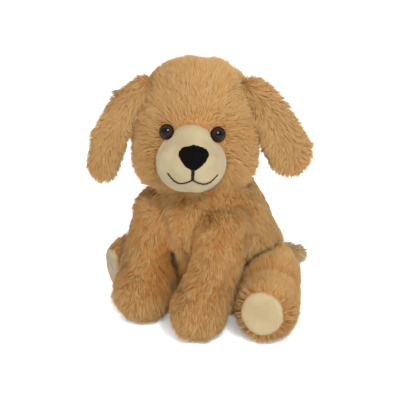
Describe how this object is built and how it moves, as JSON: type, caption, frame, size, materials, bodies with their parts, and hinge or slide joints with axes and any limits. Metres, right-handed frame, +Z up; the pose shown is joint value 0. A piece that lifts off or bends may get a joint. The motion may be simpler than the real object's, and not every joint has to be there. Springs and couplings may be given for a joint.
{
  "type": "plush dog",
  "caption": "Seated plush puppy with long tan pile, cream muzzle and soles, safety eyes, turning and nodding head, floppy ears, liftable legs and wagging tail.",
  "frame": {"origin": "middle of the flat seat panel, on the surface the puppy sits on", "axes": "+Z up; -Y is the way the body faces; +X is the puppy's left"},
  "size_m": [0.1926, 0.1636, 0.2131],
  "materials": {
    "long_tan_pile": "long fluffy pile",
    "short_cream_pile": "short velvety pile",
    "pad_cream_pile": "short velvety pile",
    "seat_tan_pile": "long fluffy pile, pressed",
    "fibre_fill": "loose polyester fibre",
    "pellet_bag_cloth": "thin woven cloth",
    "pellets": "small plastic pellets",
    "embroidery_thread": "satin stitch, slight sheen",
    "sewing_thread": "twisted sewing thread",
    "eye_dome_brown": "glossy, dark brown with a black pupil",
    "eye_stem_black": "moulded",
    "eye_washer_white": "moulded"
  },
  "bodies": {
    "torso": {"left_side_panel": "long_tan_pile", "right_side_panel": "long_tan_pile", "chest_panel": "long_tan_pile", "seat_panel": "seat_tan_pile", "body_stuffing": "fibre_fill", "pellet_bag": "pellet_bag_cloth", "seat_pellets": "pellets", "closing_stitches": "sewing_thread"},
    "neck": {"neck_stuffing": "fibre_fill"},
    "head": {"left_face_panel": "long_tan_pile", "right_face_panel": "long_tan_pile", "forehead_gusset": "long_tan_pile", "back_head_panel": "long_tan_pile", "muzzle_panel": "short_cream_pile", "head_stuffing": "fibre_fill", "nose": "embroidery_thread", "mouth_stitching": "embroidery_thread", "left_eye_dome": "eye_dome_brown", "left_eye_stem": "eye_stem_black", "left_eye_washer": "eye_washer_white", "right_eye_dome": "eye_dome_brown", "right_eye_stem": "eye_stem_black", "right_eye_washer": "eye_washer_white"},
    "left_ear": {"left_ear_front_panel": "long_tan_pile", "left_ear_back_panel": "long_tan_pile"},
    "right_ear": {"right_ear_front_panel": "long_tan_pile", "right_ear_back_panel": "long_tan_pile"},
    "left_front_leg": {"left_front_leg_outer_panel": "long_tan_pile", "left_front_leg_inner_panel": "long_tan_pile", "left_front_leg_stuffing": "fibre_fill"},
    "right_front_leg": {"right_front_leg_outer_panel": "long_tan_pile", "right_front_leg_inner_panel": "long_tan_pile", "right_front_leg_stuffing": "fibre_fill"},
    "left_hind_leg": {"left_hind_leg_outer_panel": "long_tan_pile", "left_hind_leg_inner_panel": "long_tan_pile", "left_foot_pad": "pad_cream_pile", "left_hind_leg_stuffing": "fibre_fill"},
    "right_hind_leg": {"right_hind_leg_outer_panel": "long_tan_pile", "right_hind_leg_inner_panel": "long_tan_pile", "right_foot_pad": "pad_cream_pile", "right_hind_leg_stuffing": "fibre_fill"},
    "tail": {"tail_upper_panel": "long_tan_pile", "tail_lower_panel": "long_tan_pile", "tail_stuffing": "fibre_fill"}
  },
  "joints": [
    {"name": "head_turn", "type": "hinge", "parent": "torso", "child": "neck", "pos_m": [0, -0.018, 0.116], "axis": [0, 0, 1], "range_deg": [-45, 15], "stiffness_Nm_per_rad": 0.25},
    {"name": "head_nod", "type": "hinge", "parent": "neck", "child": "head", "pos_m": [0, -0.018, 0.116], "axis": [0.866, 0.5, 0], "range_deg": [-8, 10], "stiffness_Nm_per_rad": 0.4},
    {"name": "left_ear_lift", "type": "hinge", "parent": "head", "child": "left_ear", "pos_m": [0.03764, -0.01277, 0.19018], "axis": [0.5, -0.866, 0], "range_deg": [0, 50], "stiffness_Nm_per_rad": 0.02},
    {"name": "right_ear_lift", "type": "hinge", "parent": "head", "child": "right_ear", "pos_m": [-0.03326, -0.05371, 0.19476], "axis": [-0.5, 0.866, 0], "range_deg": [0, 50], "stiffness_Nm_per_rad": 0.02},
    {"name": "left_front_leg_lift", "type": "hinge", "parent": "torso", "child": "left_front_leg", "pos_m": [0.03, -0.038, 0.088], "axis": [-1, 0, 0], "range_deg": [0, 45], "stiffness_Nm_per_rad": 0.12},
    {"name": "right_front_leg_lift", "type": "hinge", "parent": "torso", "child": "right_front_leg", "pos_m": [-0.031, -0.036, 0.088], "axis": [-1, 0, 0], "range_deg": [0, 45], "stiffness_Nm_per_rad": 0.12},
    {"name": "left_hind_leg_lift", "type": "hinge", "parent": "torso", "child": "left_hind_leg", "pos_m": [0.044, 0.007, 0.032], "axis": [-1, 0, 0], "range_deg": [0, 20], "stiffness_Nm_per_rad": 0.15},
    {"name": "right_hind_leg_lift", "type": "hinge", "parent": "torso", "child": "right_hind_leg", "pos_m": [-0.044, 0.018, 0.032], "axis": [-0.866, 0.5, 0], "range_deg": [0, 20], "stiffness_Nm_per_rad": 0.15},
    {"name": "tail_wag", "type": "hinge", "parent": "torso", "child": "tail", "pos_m": [0.002, 0.051, 0.028], "axis": [0, 0, 1], "range_deg": [0, 90], "stiffness_Nm_per_rad": 0.02}
  ]
}
